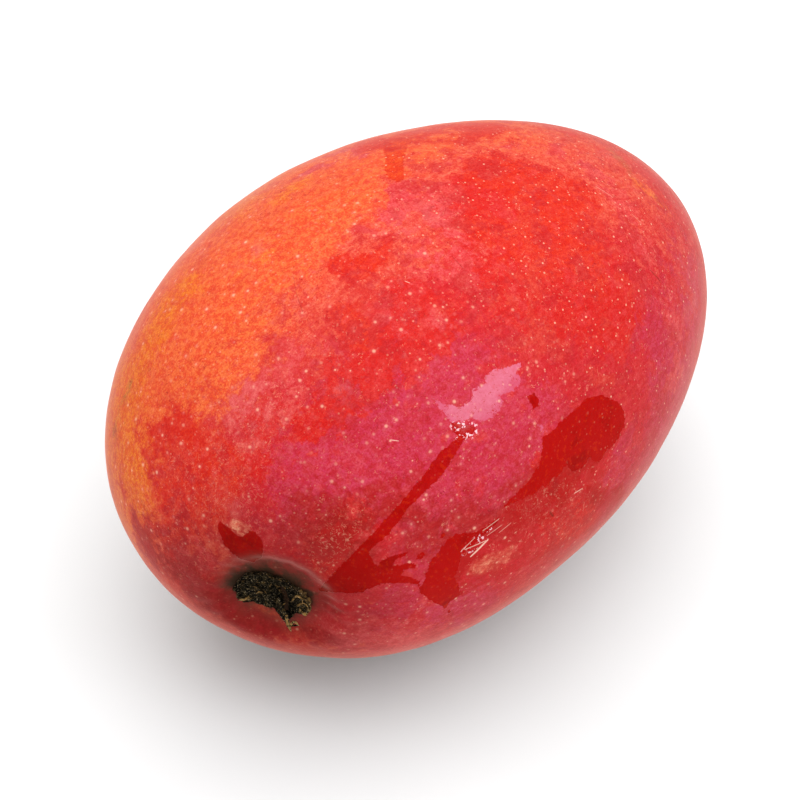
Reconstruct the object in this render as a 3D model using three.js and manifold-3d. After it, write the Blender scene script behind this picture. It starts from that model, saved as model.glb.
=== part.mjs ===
// A whole mango with the dry stub of its stalk, lying on one cheek. Millimetres, +Z up.
// The long axis runs along X with the stalk at the -X end, and the fruit rests on a small
// flat spot at z = 0 that its own weight has pressed into the skin.

import * as THREE from "three";
import { mergeVertices } from "three/addons/utils/BufferGeometryUtils.js";
import Module from "manifold-3d";

// Driving dimensions of the fruit
const HALF_LENGTH = 61.7;
const HALF_WIDTH = 43.8;
const HALF_HEIGHT = 41.3;
const FULLNESS = 2.03; // 2 is an ellipse from the side, more is boxier
const SECTION_FULLNESS = 2.09; // the same for the cross-section
const TAPER = 0.119; // share by which the girth shrinks from the middle to the far end
const BEND = 5.6; // both ends lean this far to -Y of the middle
const STALK_END_SLANT = 8.9; // the +Y shoulder stands this far beyond the middle at the stalk end
const FAR_END_SLANT = 10; // and at the far end
const SETTLED = 0.8; // depth that the resting spot is pressed in

// The stalk's seat: where it is, which way it faces, and the hollow round it
const SEAT_TURN = THREE.MathUtils.degToRad(20.2); // from -X towards -Y, seen from the middle
const SEAT_DROP = THREE.MathUtils.degToRad(1.6); // and this far below the middle of the height
const STALK_LEAN = THREE.MathUtils.degToRad(33); // the stalk's own axis, turned the same way
const HOLLOW_DEPTH = 3.4;
const HOLLOW_FLOOR = 6.8; // radius of the flat floor
const HOLLOW_MOUTH = 14; // radius at which the hollow has faded out
const SHOULDER_RISE = 1.1; // the skin swells a little round the hollow
const SHOULDER_RADIUS = 19;
const SHOULDER_REACH = 32; // the swelling stays within this depth along the axis

// Grid of the skin: quads along each side of a cube that is blown up into the fruit
const SKIN_GRID = 26;
const GATHER = 1.1; // the grid is this much closer round the stalk's seat
const GATHER_ANGLE = 0.62;

// The stub: a corky plug with a torn rim, split by a cleft
const STUB_GAP = 0.3; // clearance between the stub and the floor of its hollow
const STUB_HALF_WIDTH = 6.4;
const STUB_HALF_HEIGHT = 5.1;
const STUB_THICKNESS = 1.9;
const STUB_RIM_RISE = 0.9; // the rim stands above the middle
const STUB_RAGGED = 0.09; // share by which its outline wanders
const STUB_LUMPS = 0.34; // height of its corky lumps
const STUB_RINGS = 9;
const STUB_SECTORS = 40;
const CLEFT = { across: 1.6, from: -4.4, to: 2.6, width: 1.0, depth: 1.5 };

// Torn flakes on the rim: turn is measured round the stub from the side away from the cheek,
// lean from the stalk's axis outwards, and all but the first two are sizes in millimetres
const FLAKES = [
  { turn: 192, lean: 62, length: 2.6, width: 3.0, thickness: 0.7, curl: 0.5 },
  { turn: 214, lean: 48, length: 2.4, width: 1.8, thickness: 0.7, curl: 0.3 },
  { turn: 292, lean: 66, length: 3.4, width: 2.4, thickness: 0.7, curl: 1.5 },
  { turn: 318, lean: 40, length: 2.2, width: 1.5, thickness: 0.7, curl: 0.4 },
  { turn: 345, lean: 42, length: 3.0, width: 1.9, thickness: 0.7, curl: 0.7 },
  { turn: 8, lean: 50, length: 2.6, width: 2.2, thickness: 0.7, curl: 0.3 },
  { turn: 40, lean: 34, length: 2.2, width: 1.6, thickness: 0.7, curl: 0.2 },
  { turn: 88, lean: 30, length: 1.8, width: 2.4, thickness: 0.7, curl: 0.2 },
  { turn: 140, lean: 38, length: 2.4, width: 2.0, thickness: 0.7, curl: 0.3 },
];
const FLAKE_STEPS = 6;
const FLAKE_ROOT = 1.4; // length of each flake that is buried in the stub

const UP = new THREE.Vector3(0, 0, 1);
const SEAT = new THREE.Vector3(
  -Math.cos(SEAT_TURN),
  -Math.sin(SEAT_TURN),
  -Math.tan(SEAT_DROP),
).normalize();
const STALK_AXIS = new THREE.Vector3(-Math.cos(STALK_LEAN), -Math.sin(STALK_LEAN), 0);
const STALK_SIDE = new THREE.Vector3().crossVectors(UP, STALK_AXIS);

function smoothStep(low, high, value) {
  return THREE.MathUtils.smootherstep(value, low, high);
}

// The fruit's smooth body: the point of its skin in a given direction from its middle
function bodyPoint(direction) {
  const { x, y, z } = direction;
  const s = SECTION_FULLNESS;
  const ring = (Math.abs(y) ** s + Math.abs(z) ** s) ** (1 / s);
  const reach = (Math.abs(x) ** FULLNESS + ring ** FULLNESS) ** (-1 / FULLNESS);
  const along = reach * x;
  const girth = reach * (1 - TAPER * along);
  const across = girth * y;
  const slant = along < 0 ? -STALK_END_SLANT : FAR_END_SLANT;
  return new THREE.Vector3(
    HALF_LENGTH * along + slant * along ** 2 * across,
    HALF_WIDTH * across - BEND * along ** 2,
    HALF_HEIGHT * girth * z,
  );
}

const SEAT_POINT = bodyPoint(SEAT);

// The skin: the body with the stalk's hollow sunk into it and the resting spot pressed flat
function skinPoint(direction) {
  const point = bodyPoint(direction);
  const offset = point.clone().sub(SEAT_POINT);
  const height = offset.dot(STALK_AXIS);
  const radius = offset.clone().addScaledVector(STALK_AXIS, -height).length();
  const near = smoothStep(-SHOULDER_REACH, 0, height);
  const q = (radius / SHOULDER_RADIUS) ** 2;
  const shoulder = SHOULDER_RISE * q * Math.exp(1 - q) * near;
  const sunk = near * (1 - smoothStep(HOLLOW_FLOOR, HOLLOW_MOUTH, radius));
  const raised = THREE.MathUtils.lerp(height + shoulder, -HOLLOW_DEPTH, sunk);
  point.addScaledVector(STALK_AXIS, raised - height);
  point.z = Math.max(point.z, SETTLED - HALF_HEIGHT);
  return point;
}

// Draws the grid's directions together round the stalk's seat, where the form is finer
function gathered(direction) {
  const angle = direction.angleTo(SEAT);
  const pull = GATHER * Math.exp(-((angle / GATHER_ANGLE) ** 2));
  return direction.clone().addScaledVector(SEAT, pull).normalize();
}

function fruitGeometry() {
  const cube = new THREE.BoxGeometry(2, 2, 2, SKIN_GRID, SKIN_GRID, SKIN_GRID);
  cube.deleteAttribute("normal");
  cube.deleteAttribute("uv");
  const geometry = mergeVertices(cube, 1e-4);
  const place = geometry.getAttribute("position");
  const corner = new THREE.Vector3();
  for (let i = 0; i < place.count; i++) {
    corner.fromBufferAttribute(place, i);
    // Even spacing: equal steps of angle, and not of length, across each side of the cube
    corner.set(...corner.toArray().map((c) => Math.tan((c * Math.PI) / 4))).normalize();
    place.setXYZ(i, ...skinPoint(gathered(corner)).toArray());
  }
  geometry.computeVertexNormals();
  return geometry;
}

// Uneven but repeatable heights for the cork, as a sum of a few waves
function lumps(turn, share) {
  const slow = Math.sin(3 * turn + 1.1) * Math.cos(5 * share + 0.4);
  const quick = Math.sin(7 * turn - 9 * share) * 0.6 + Math.sin(13 * turn + 4) * 0.4;
  return (slow + quick) / 2;
}

// A point of the stub in the fruit's frame, from its own side, up and outward distances
function onStub(side, up, out) {
  return SEAT_POINT.clone()
    .addScaledVector(STALK_AXIS, out - HOLLOW_DEPTH + STUB_GAP)
    .addScaledVector(STALK_SIDE, side)
    .addScaledVector(UP, up);
}

// A closed geometry from rows of points that run round in loops, with a point at each end
function closedRows(first, rows, last) {
  const around = rows[0].length;
  const points = [first, ...rows.flat(), last];
  const faces = [];
  for (let j = 0; j < around; j++) {
    const next = (j + 1) % around;
    faces.push(0, 1 + j, 1 + next);
    for (let i = 0; i + 1 < rows.length; i++) {
      const row = 1 + i * around;
      faces.push(row + j, row + around + j, row + next);
      faces.push(row + next, row + around + j, row + around + next);
    }
    const end = 1 + (rows.length - 1) * around;
    faces.push(end + j, points.length - 1, end + next);
  }
  const geometry = new THREE.BufferGeometry().setFromPoints(points);
  geometry.setIndex(faces);
  return geometry;
}

// The corky plug: rings of its top from the middle outwards, then its flat underside
function plugGeometry() {
  const rows = [];
  const top = (share, turn) => {
    const rim = STUB_RIM_RISE * smoothStep(0.45, 0.85, share);
    const edge = share > 0.9 ? 0.55 : 0;
    return STUB_THICKNESS + rim - edge + STUB_LUMPS * lumps(turn, share) * share;
  };
  const outline = (share, turn) => {
    const wander = 1 + STUB_RAGGED * (Math.sin(4 * turn + 0.7) + 0.7 * Math.sin(9 * turn));
    return [
      STUB_HALF_WIDTH * share * wander * Math.cos(turn),
      STUB_HALF_HEIGHT * share * wander * Math.sin(turn),
    ];
  };
  const row = (share, height) =>
    Array.from({ length: STUB_SECTORS }, (_, j) => {
      const turn = (2 * Math.PI * j) / STUB_SECTORS;
      return onStub(...outline(share, turn), height(turn));
    });
  for (let i = 1; i <= STUB_RINGS; i++) {
    const share = i / STUB_RINGS;
    rows.push(row(share, (turn) => top(share, turn)));
  }
  rows.push(row(0.96, () => 0));
  return closedRows(onStub(0, 0, STUB_THICKNESS), rows, onStub(0, 0, 0));
}

// One torn flake: a flat blade that leans out from the rim, narrows and curls at its tip
function flakeGeometry({ turn, lean, length, width, thickness, curl }) {
  const angle = THREE.MathUtils.degToRad(turn);
  const tilt = THREE.MathUtils.degToRad(lean);
  const outward = [Math.cos(angle), Math.sin(angle)];
  const start = 0.86; // of the way from the middle to the rim
  const whole = FLAKE_ROOT + length;
  const rows = [];
  const middles = [];
  for (let i = 0; i <= FLAKE_STEPS; i++) {
    const share = i / FLAKE_STEPS;
    const run = whole * share - FLAKE_ROOT;
    const bend = curl * share ** 2;
    const radial = run * Math.sin(tilt) - bend * Math.cos(tilt);
    const rise = STUB_THICKNESS * 0.62 + run * Math.cos(tilt) + bend * Math.sin(tilt);
    const half = (width / 2) * (1 - 0.72 * share ** 1.6);
    const thin = (thickness / 2) * (1 - 0.25 * share);
    const corners = [
      [half, thin],
      [half, -thin],
      [-half, -thin],
      [-half, thin],
    ];
    const at = (sideways, through) => {
      const r = radial - through * Math.cos(tilt);
      return onStub(
        outward[0] * (STUB_HALF_WIDTH * start + r) - outward[1] * sideways,
        outward[1] * (STUB_HALF_HEIGHT * start + r) + outward[0] * sideways,
        Math.max(rise + through * Math.sin(tilt), 0.2),
      );
    };
    rows.push(corners.map(([sideways, through]) => at(sideways, through)));
    middles.push(at(0, 0));
  }
  return closedRows(middles[0], rows, middles[FLAKE_STEPS]);
}

// The cleft that splits the plug, as a wedge with its edge inside the cork
function cleftGeometry() {
  const { across, from, to, width, depth } = CLEFT;
  const wedge = new THREE.Shape([
    new THREE.Vector2(0, 0),
    new THREE.Vector2(width, 2 * depth),
    new THREE.Vector2(-width, 2 * depth),
  ]);
  const geometry = new THREE.ExtrudeGeometry(wedge, { depth: to - from, bevelEnabled: false });
  const frame = new THREE.Matrix4().makeBasis(STALK_SIDE, STALK_AXIS, UP.clone().negate());
  frame.setPosition(onStub(across, to, STUB_THICKNESS - depth));
  return geometry.applyMatrix4(frame);
}

const wasm = await Module();
wasm.setup();

function solidFrom(geometry) {
  geometry.deleteAttribute("normal");
  geometry.deleteAttribute("uv");
  const merged = mergeVertices(geometry, 1e-4);
  const vertProperties = merged.getAttribute("position").array;
  const triVerts = new Uint32Array(merged.index.array);
  return new wasm.Manifold(new wasm.Mesh({ numProp: 3, vertProperties, triVerts }));
}

function geometryFrom(solid) {
  const { vertProperties, triVerts } = solid.getMesh();
  const geometry = new THREE.BufferGeometry();
  geometry.setAttribute("position", new THREE.BufferAttribute(vertProperties, 3));
  geometry.setIndex(new THREE.BufferAttribute(triVerts, 1));
  geometry.computeVertexNormals();
  return geometry;
}

// The fused pieces without the scraps and sealed hollows that are left where they meet
function wholeOf(solid) {
  const bodies = solid.decompose();
  return bodies.reduce((whole, body) => (body.volume() > whole.volume() ? body : whole));
}

function stubGeometry() {
  const plug = solidFrom(plugGeometry()).subtract(solidFrom(cleftGeometry()));
  const flakes = FLAKES.map((flake) => solidFrom(flakeGeometry(flake)));
  return geometryFrom(wholeOf(flakes.reduce((solid, flake) => solid.add(flake), plug)));
}

function named(name, geometry, colour, roughness) {
  const material = new THREE.MeshStandardMaterial({ color: colour, roughness, metalness: 0 });
  const mesh = new THREE.Mesh(geometry, material);
  mesh.name = name;
  return mesh;
}

const fruit = named("fruit", fruitGeometry(), 0xc8323a, 0.42);
const stub = named("stalk_stub", stubGeometry(), 0x2b2117, 0.85);

// The origin is on the surface that the mango lies on, under the middle of its length and width
const mango = new THREE.Group();
mango.add(fruit, stub);
const bounds = new THREE.Box3().setFromObject(mango, true);
const middle = bounds.getCenter(new THREE.Vector3());
for (const piece of [fruit, stub]) piece.position.set(-middle.x, -middle.y, -bounds.min.z);

export default mango;
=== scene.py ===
# A ripe red mango lying on a white surface, with the torn dry stub of its stalk.
# Shapes are worked out in millimetres and made in metres. +Z is up, and the stalk is at -X.
import math
from types import SimpleNamespace

import bpy
import numpy as np
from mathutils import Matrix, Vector, noise
from mathutils.bvhtree import BVHTree


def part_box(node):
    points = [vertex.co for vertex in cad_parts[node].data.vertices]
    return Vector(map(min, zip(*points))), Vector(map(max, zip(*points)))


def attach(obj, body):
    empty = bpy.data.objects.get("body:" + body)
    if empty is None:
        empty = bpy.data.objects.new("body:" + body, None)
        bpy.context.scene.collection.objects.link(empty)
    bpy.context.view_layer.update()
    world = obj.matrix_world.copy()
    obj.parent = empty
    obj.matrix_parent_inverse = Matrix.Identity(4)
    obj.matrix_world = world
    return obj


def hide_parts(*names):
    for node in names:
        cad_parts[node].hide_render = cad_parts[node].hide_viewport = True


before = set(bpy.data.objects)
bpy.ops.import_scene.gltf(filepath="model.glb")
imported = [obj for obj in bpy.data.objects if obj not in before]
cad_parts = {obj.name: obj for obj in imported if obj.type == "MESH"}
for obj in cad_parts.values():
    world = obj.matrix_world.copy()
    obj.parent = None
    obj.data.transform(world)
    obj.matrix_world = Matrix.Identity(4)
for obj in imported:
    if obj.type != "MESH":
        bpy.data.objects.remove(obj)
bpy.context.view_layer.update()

MM = 0.001

# Driving dimensions of the fruit, in millimetres, the same as the solid's. A fullness of 2 is a
# plain ellipse, and more is squarer
HALF_LENGTH = 61.7
HALF_WIDTH = 43.8
HALF_HEIGHT = 41.3
FULLNESS = 2.03
SECTION_FULLNESS = 2.09
TAPER = 0.119
BEND = 5.6
STALK_END_SLANT = 8.9
FAR_END_SLANT = 10
SETTLED = 0.8

# The stalk's seat and its hollow, which is a little shallower than the solid's
SEAT_TURN = math.radians(20.2)
SEAT_DROP = math.radians(1.6)
STALK_LEAN = math.radians(33)
HOLLOW_DEPTH = 2.5
HOLLOW_FLOOR = 6.8
HOLLOW_MOUTH = 14
SHOULDER_RISE = 1.1
SHOULDER_RADIUS = 19
SHOULDER_REACH = 32

# Finer than the solid: the grid of the skin and its relief
SKIN_GRID = 126  # quads along each side of the cube that is blown up into the fruit
GATHER = 0.9  # how strongly the grid is drawn together round the stalk
GATHER_ANGLE = 0.6  # and how widely, in radians
MAP_MARGIN = 0.006  # share of a cell of the flat map left free at its edges
SWELLS = ((26.0, 0.30), (9.0, 0.10), (3.5, 0.035))  # widths and heights of the unevenness
PUCKERS = 17  # folds that run into the hollow
PUCKER_HEIGHT = 0.07
PUCKER_START = (5, 9)  # distances from the stalk's axis between which the folds grow
PUCKER_END = (10, 21)  # and between which they fade
STUB_CLEARANCE = 9  # nearer to the stalk's axis than this the relief fades out

# The torn stalk. Its face's outline is in photo pixels, and heights are along the stalk from its
# seat, in millimetres
CORK_OUTLINE = (
    (236, 587), (240, 579), (250, 575), (262, 574), (274, 577), (286, 582), (297, 588),
    (306, 595), (312, 604), (311, 612), (304, 614), (298, 611), (295, 617), (289, 620),
    (283, 616), (277, 609), (267, 605), (256, 602), (246, 602), (239, 597),
)
CORK_MIDDLE = (274, 593)
CORK_RINGS = 56
CORK_SECTORS = 160
CORK_FACE = 0.84  # share of the rings that make the face, before the skirt round it
CORK_LEVEL = -2.0
CORK_RISE = 0.4  # how much the rim stands above the middle
CORK_SKIRT = 0.75  # how far the skirt goes down
CORK_FLOOR = -2.8
TEETH_WIDTH = 0.8
TEETH_SHARE = 0.10  # how much the rim's teeth change its reach
RIDGE_WIDTH = 1.7
RIDGE_HEIGHT = 0.24
RIDGE_MEAN = 1.2
RIDGE_KIND = (0.9, 2.1, 5, 1.0, 2.0)  # the ridges' roughness, spacing, layers, offset and gain
CRUMB_WIDTH = 0.7
CRUMB_HEIGHT = 0.14
# The stain round the stalk is partly painted shade in the hollow above it, so it is wider above
STAIN_AND_SHADE_REACH = 13  # how far from the stalk's axis the stain may go
STAIN_AND_SHADE_LIFT = 1.3  # how much narrower the stain is below the stalk
PIT_LINE = ((283, 590), (287, 600), (287, 612))
PIT_WIDTH = 0.45
PIT_DEPTH = 1.4
SHADE_WIDTH = 1.9  # of the blackened middle, on either side of the pit
HAIR_COUNT = 70
HAIR_REACH = (2.5, 8.0)  # in photo pixels
HAIR_WIDTH = (0.07, 0.13)
SHRED_WIDTH = (0.25, 0.55)
FIBRE_STEPS = 10
FIBRE_SIDES = 6
# Flaps and loops: path in photo pixels and heights, width and thickness in millimetres, twist,
# and how tan they are
STALK_FLAPS = (
    (
        ((279, 598, -1.7), (282, 609, -0.8), (286, 618, -0.2), (292, 626, 0.1), (301, 626, -0.1)),
        1.2, 0.3, 0.9, 0.28,
    ),
    (((287, 616, -0.4), (290, 625, 0.2), (293, 633, 0.1)), 0.9, 0.22, 0.5, 0.75),
    (((291, 627, 0.0), (296, 623, 0.4), (301, 627, 0.1)), 0.6, 0.2, 0.5, 0.95),
    (((293, 603, -1.7), (298, 597, -0.8), (304, 601, -0.5), (303, 609, -1.1)), 0.40, 0.2, 0.8, 0.75),
    (((299, 607, -1.7), (305, 604, -0.7), (310, 609, -0.6), (308, 615, -1.2)), 0.45, 0.2, -0.9, 0.75),
    (((303, 599, -1.8), (310, 603, -0.9), (313, 611, -1.2)), 0.40, 0.2, 0.5, 0.6),
    (((301, 611, -1.5), (306, 615, -0.9), (310, 614, -1.2)), 0.80, 0.2, 0.4, 0.9),
    (((251, 599, -1.8), (245, 601, -1.2), (239, 602, -1.4)), 0.85, 0.2, 0.4, 0.85),
    (((250, 590, -1.8), (243, 586, -1.3), (237, 584, -1.6)), 0.40, 0.2, 0.7, 0.40),
    (((266, 602, -1.8), (270, 607, -1.1), (274, 611, -1.2)), 0.50, 0.2, -0.6, 0.35),
)

# The photograph: its frame, what it was taken from, and where the fruit's middle is in it
PHOTO_SIZE = 800
PIXELS_PER_MM = 5.5
VIEW_DISTANCE = 700
VIEW_AZIMUTH = math.radians(-43.6)
VIEW_ELEVATION = math.radians(47.5)
FRUIT_MIDDLE = np.array([0.5, -2.1, 40.5])
MIDDLE_IN_PHOTO = (428, 376.5)
SENSOR = 36.0
SIDE_DISTANCE = 300  # how far off a hidden stroke's point is looked at from

# What the skin's outlines and distances say where nothing is near
FAR_AWAY = 50
FACING = 0.05  # least turn towards the camera at which an outline of the photograph counts

# Light: the room's strength, and the lamps' powers in watts and sizes in metres
ROOM_LIGHT = 0.8
OVERHEAD_POWER = 15.5
OVERHEAD_SIZE = (2.0, 2.0)
WINDOW_POWER = 0.65
WINDOW_SIZE = (0.40, 0.22)
WINDOW_DISTANCE = 800
WINDOW_BLUE = (0.86, 0.92, 1.0)
TABLE_HALF = 3000

# Pigments of the skin, as scene-linear colours
CORAL = (0.70, 0.075, 0.034)
CORAL_PALE = (0.78, 0.14, 0.075)
ORANGE = (0.84, 0.165, 0.032)
AMBER = (0.84, 0.22, 0.003)
BLAZE = (0.70, 0.024, 0.0015)
SCARLET = (0.66, 0.007, 0.0025)
CRIMSON = (0.62, 0.012, 0.022)
MAGENTA = (0.60, 0.032, 0.085)
LEAF_GREEN = (0.36, 0.20, 0.02)
ROSE = (0.72, 0.078, 0.082)
CREAM_AND_PAINTED_LIGHT = (0.96, 0.44, 0.24)
DEEP_CRIMSON = (0.54, 0.010, 0.020)
GARNET_AND_SHADE = (0.42, 0.006, 0.003)
BRICK = (0.20, 0.055, 0.020)
PALE_FLECK = (0.95, 0.26, 0.20)
BLOOM = (0.92, 0.36, 0.34)
HAIR_PEACH = (0.95, 0.40, 0.24)
PORE_CREAM = (0.95, 0.50, 0.33)
WET_RED = (0.44, 0.0022, 0.0010)
DARK_WET = (0.30, 0.0015, 0.001)
EMBER = (0.70, 0.045, 0.003)
SCAR_BROWN = (0.035, 0.018, 0.006)
# A brown that is partly a stain and partly painted shade in the stalk's hollow
STAIN_AND_SHADE_BROWN = (0.15, 0.022, 0.012)
RUBBED_RED = (0.50, 0.014, 0.012)
# The lilac of the wet film is a painted reflection
GLINT_REFLECTION_LILAC = (0.66, 0.11, 0.19)
SPARKLE_HIGHLIGHT_PINK = (0.95, 0.55, 0.60)
# Pale of the scratches, and of painted highlights on the wet lower lobe
SCRATCH_AND_GLINT_PALE = (0.95, 0.62, 0.48)
SCRATCH_DARK = (0.25, 0.012, 0.004)
SHEEN_PINK = (1.0, 0.56, 0.48)
THROWN_LIGHT = (0.30, 0.20, 0.18)

# Tints that the colour under them is multiplied by
FLECK_TINT = (0.90, 0.30, 0.34)
GRAIN_TINT = (0.84, 0.42, 0.44)
SPECK_TINT = (0.62, 0.20, 0.26)
WET_TINT = (0.80, 0.30, 0.25)
THIN_FILM_TINT = (0.92, 0.45, 0.12)
DUSK_TINT = (0.57, 0.42, 0.40)

# The dry stalk, as scene-linear colours
CORK_BLACK = (0.004, 0.003, 0.0015)
CORK_OLIVE = (0.075, 0.048, 0.010)
FIBRE_TAN = (0.46, 0.25, 0.065)
FIBRE_PALE = (0.75, 0.58, 0.34)
PIT_BLACK = (0.002, 0.0015, 0.001)

# The table, as scene-linear colours
TABLE_DIM = (0.88, 0.88, 0.88)
TABLE_BRIGHT = (0.90, 0.90, 0.90)

# How rough each finish is
WAXY_ROUGH = (0.42, 0.55)
RUBBED_ROUGH = 0.30
STALK_END_ROUGH = 0.8
WET_ROUGH = 0.14
GLINT_ROUGH = 0.2


def unit(v):
    v = np.asarray(v, dtype=float)
    return v / np.linalg.norm(v, axis=-1, keepdims=True)


def smooth_step(low, high, value):
    t = np.clip((value - low) / (high - low), 0, 1)
    return t * t * t * (t * (t * 6 - 15) + 10)


UP = np.array([0.0, 0.0, 1.0])
SEAT = unit([-math.cos(SEAT_TURN), -math.sin(SEAT_TURN), -math.tan(SEAT_DROP)])
STALK_AXIS = np.array([-math.cos(STALK_LEAN), -math.sin(STALK_LEAN), 0.0])
STALK_SIDE = np.cross(UP, STALK_AXIS)


def body_points(directions):
    """The smooth body's skin in each direction from its middle."""
    x, y, z = directions.T
    ring = (np.abs(y) ** SECTION_FULLNESS + np.abs(z) ** SECTION_FULLNESS) ** (1 / SECTION_FULLNESS)
    reach = (np.abs(x) ** FULLNESS + ring**FULLNESS) ** (-1 / FULLNESS)
    along = reach * x
    girth = reach * (1 - TAPER * along)
    across = girth * y
    slant = np.where(along < 0, -STALK_END_SLANT, FAR_END_SLANT)
    return np.stack(
        [
            HALF_LENGTH * along + slant * along**2 * across,
            HALF_WIDTH * across - BEND * along**2,
            HALF_HEIGHT * girth * z,
        ],
        axis=1,
    )


SEAT_POINT = body_points(SEAT[None])[0]


def about_stalk(points):
    """Height along the stalk's axis above its seat, distance from the axis, and turn about it."""
    offset = points - SEAT_POINT
    height = offset @ STALK_AXIS
    side, up = offset @ STALK_SIDE, offset[:, 2]
    return height, np.hypot(side, up), np.arctan2(up, side)


def skin_points(directions):
    """The body with the stalk's hollow sunk into it and the resting spot pressed flat."""
    points = body_points(directions)
    height, radius, _ = about_stalk(points)
    near = smooth_step(-SHOULDER_REACH, 0, height)
    q = (radius / SHOULDER_RADIUS) ** 2
    shoulder = SHOULDER_RISE * q * np.exp(1 - q) * near
    sunk = near * (1 - smooth_step(HOLLOW_FLOOR, HOLLOW_MOUTH, radius))
    raised = (height + shoulder) * (1 - sunk) - HOLLOW_DEPTH * sunk
    points = points + (raised - height)[:, None] * STALK_AXIS
    points[:, 2] = np.maximum(points[:, 2], SETTLED - HALF_HEIGHT)
    return points


def gathered(directions):
    """The grid's directions, drawn together round the stalk's seat."""
    angle = np.arccos(np.clip(directions @ SEAT, -1, 1))
    pull = GATHER * np.exp(-((angle / GATHER_ANGLE) ** 2))
    return unit(directions + pull[:, None] * SEAT)


def cube_grid(n):
    """Corners of a cube's surface grid, from -1 to 1, its quads, and where each is in the flat map.

    Each side of the cube has a cell of its own in the map, three across and two up.
    """
    quads, cells = [], []
    i, j = np.meshgrid(np.arange(n + 1), np.arange(n + 1), indexing="ij")
    for number, (axis, end) in enumerate((a, e) for a in range(3) for e in (0, n)):
        long_way, short_way = {0: (1, 2), 1: (0, 2), 2: (0, 1)}[axis]
        lattice = np.zeros((n + 1, n + 1, 3), dtype=np.int64)
        lattice[..., axis] = end
        lattice[..., long_way] = i
        lattice[..., short_way] = j
        keys = (lattice[..., 0] * (n + 1) + lattice[..., 1]) * (n + 1) + lattice[..., 2]
        a, b, c, d = (keys[:-1, :-1], keys[1:, :-1], keys[1:, 1:], keys[:-1, 1:])
        quad = np.stack([a, b, c, d], axis=-1).reshape(-1, 4)
        column, row = number % 3, number // 3
        u = (column + MAP_MARGIN + (1 - 2 * MAP_MARGIN) * j / n) / 3
        v = (row + MAP_MARGIN + (1 - 2 * MAP_MARGIN) * i / n) / 2
        flat = np.stack([u, v], axis=-1)
        cell = np.stack([flat[:-1, :-1], flat[1:, :-1], flat[1:, 1:], flat[:-1, 1:]], axis=2)
        cell = cell.reshape(-1, 4, 2)
        outward = np.cross(np.eye(3)[long_way], np.eye(3)[short_way])[axis] * (1 if end else -1)
        if outward < 0:
            quad, cell = quad[:, ::-1], cell[:, ::-1]
        quads.append(quad)
        cells.append(cell)
    keys, quads = np.unique(np.concatenate(quads), return_inverse=True)
    lattice = np.stack([keys // (n + 1) ** 2, keys // (n + 1) % (n + 1), keys % (n + 1)], axis=1)
    return lattice * 2 / n - 1, quads.reshape(-1, 4), np.concatenate(cells)


def new_mesh(name, points, faces):
    """A smooth-shaded object from points in the frame, in millimetres."""
    mesh = bpy.data.meshes.new(name)
    mesh.from_pydata((np.asarray(points) * MM).tolist(), [], [list(map(int, f)) for f in faces])
    mesh.validate()
    mesh.shade_smooth()
    piece = bpy.data.objects.new(name, mesh)
    bpy.context.scene.collection.objects.link(piece)
    return piece


def points_of(piece):
    flat = np.empty(len(piece.data.vertices) * 3)
    piece.data.vertices.foreach_get("co", flat)
    return flat.reshape(-1, 3) / MM


def normals_of(piece):
    flat = np.empty(len(piece.data.vertices) * 3)
    piece.data.vertex_normals.foreach_get("vector", flat)
    return flat.reshape(-1, 3)


def move_points(piece, points):
    piece.data.vertices.foreach_set("co", (points * MM).ravel())
    piece.data.update()


def paint(piece, name, values):
    """Keeps one number for each point of a piece, for its material to read."""
    layer = piece.data.attributes.new(name, "FLOAT", "POINT")
    layer.data.foreach_set("value", np.asarray(values, dtype=np.float32))


def waves(points, width, seed):
    """Soft unevenness from -1 to 1 with features of about that width."""
    shift = Vector((seed * 17.3, seed * 5.1, seed * 9.7))
    return np.array([noise.noise(Vector(p) / width + shift) for p in points])


# The fruit's skin, placed where the solid is
grid, skin_quads, skin_map = cube_grid(SKIN_GRID)
directions = gathered(unit(np.tan(grid * math.pi / 4)))
body = skin_points(directions)
solid_low, solid_high = (np.array(corner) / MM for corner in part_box("fruit"))
PLACE = (solid_low + solid_high) / 2 - (body.min(axis=0) + body.max(axis=0)) / 2
PLACE[2] = HALF_HEIGHT - SETTLED


def make_skin():
    skin = new_mesh("mango_skin", body + PLACE, skin_quads)
    flat_map = skin.data.uv_layers.new(name="OFBake")
    flat_map.data.foreach_set("uv", skin_map.reshape(-1).astype(np.float32))
    points = points_of(skin)
    rise = np.zeros(len(points))
    for number, (width, height) in enumerate(SWELLS):
        rise += height * waves(points, width, number + 1)
    height, radius, turn = about_stalk(points - PLACE)
    near = smooth_step(-SHOULDER_REACH, 0, height)
    fold = np.sin(PUCKERS * turn + 2.2 * np.sin(2 * turn) + 1.3 * np.sin(5 * turn))
    folded = near * smooth_step(*PUCKER_START, radius) * (1 - smooth_step(*PUCKER_END, radius))
    rise += PUCKER_HEIGHT * fold * folded
    clear_of_stub = 1 - near * (1 - smooth_step(HOLLOW_FLOOR, STUB_CLEARANCE, radius))
    off_the_floor = smooth_step(0.05, 3.5, points[:, 2])
    moved = points + (rise * clear_of_stub * off_the_floor)[:, None] * normals_of(skin)
    moved[:, 2] = np.maximum(moved[:, 2], 0)
    move_points(skin, moved)
    return skin


# The photograph's camera, as directions across and up the picture and back towards the camera
ACROSS = np.array([math.cos(VIEW_AZIMUTH), math.sin(VIEW_AZIMUTH), 0])
BACK = np.array(
    [
        math.sin(VIEW_AZIMUTH) * math.cos(VIEW_ELEVATION),
        -math.cos(VIEW_AZIMUTH) * math.cos(VIEW_ELEVATION),
        math.sin(VIEW_ELEVATION),
    ]
)
UPWARD = np.cross(BACK, ACROSS)
EYE = FRUIT_MIDDLE + VIEW_DISTANCE * BACK


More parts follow.
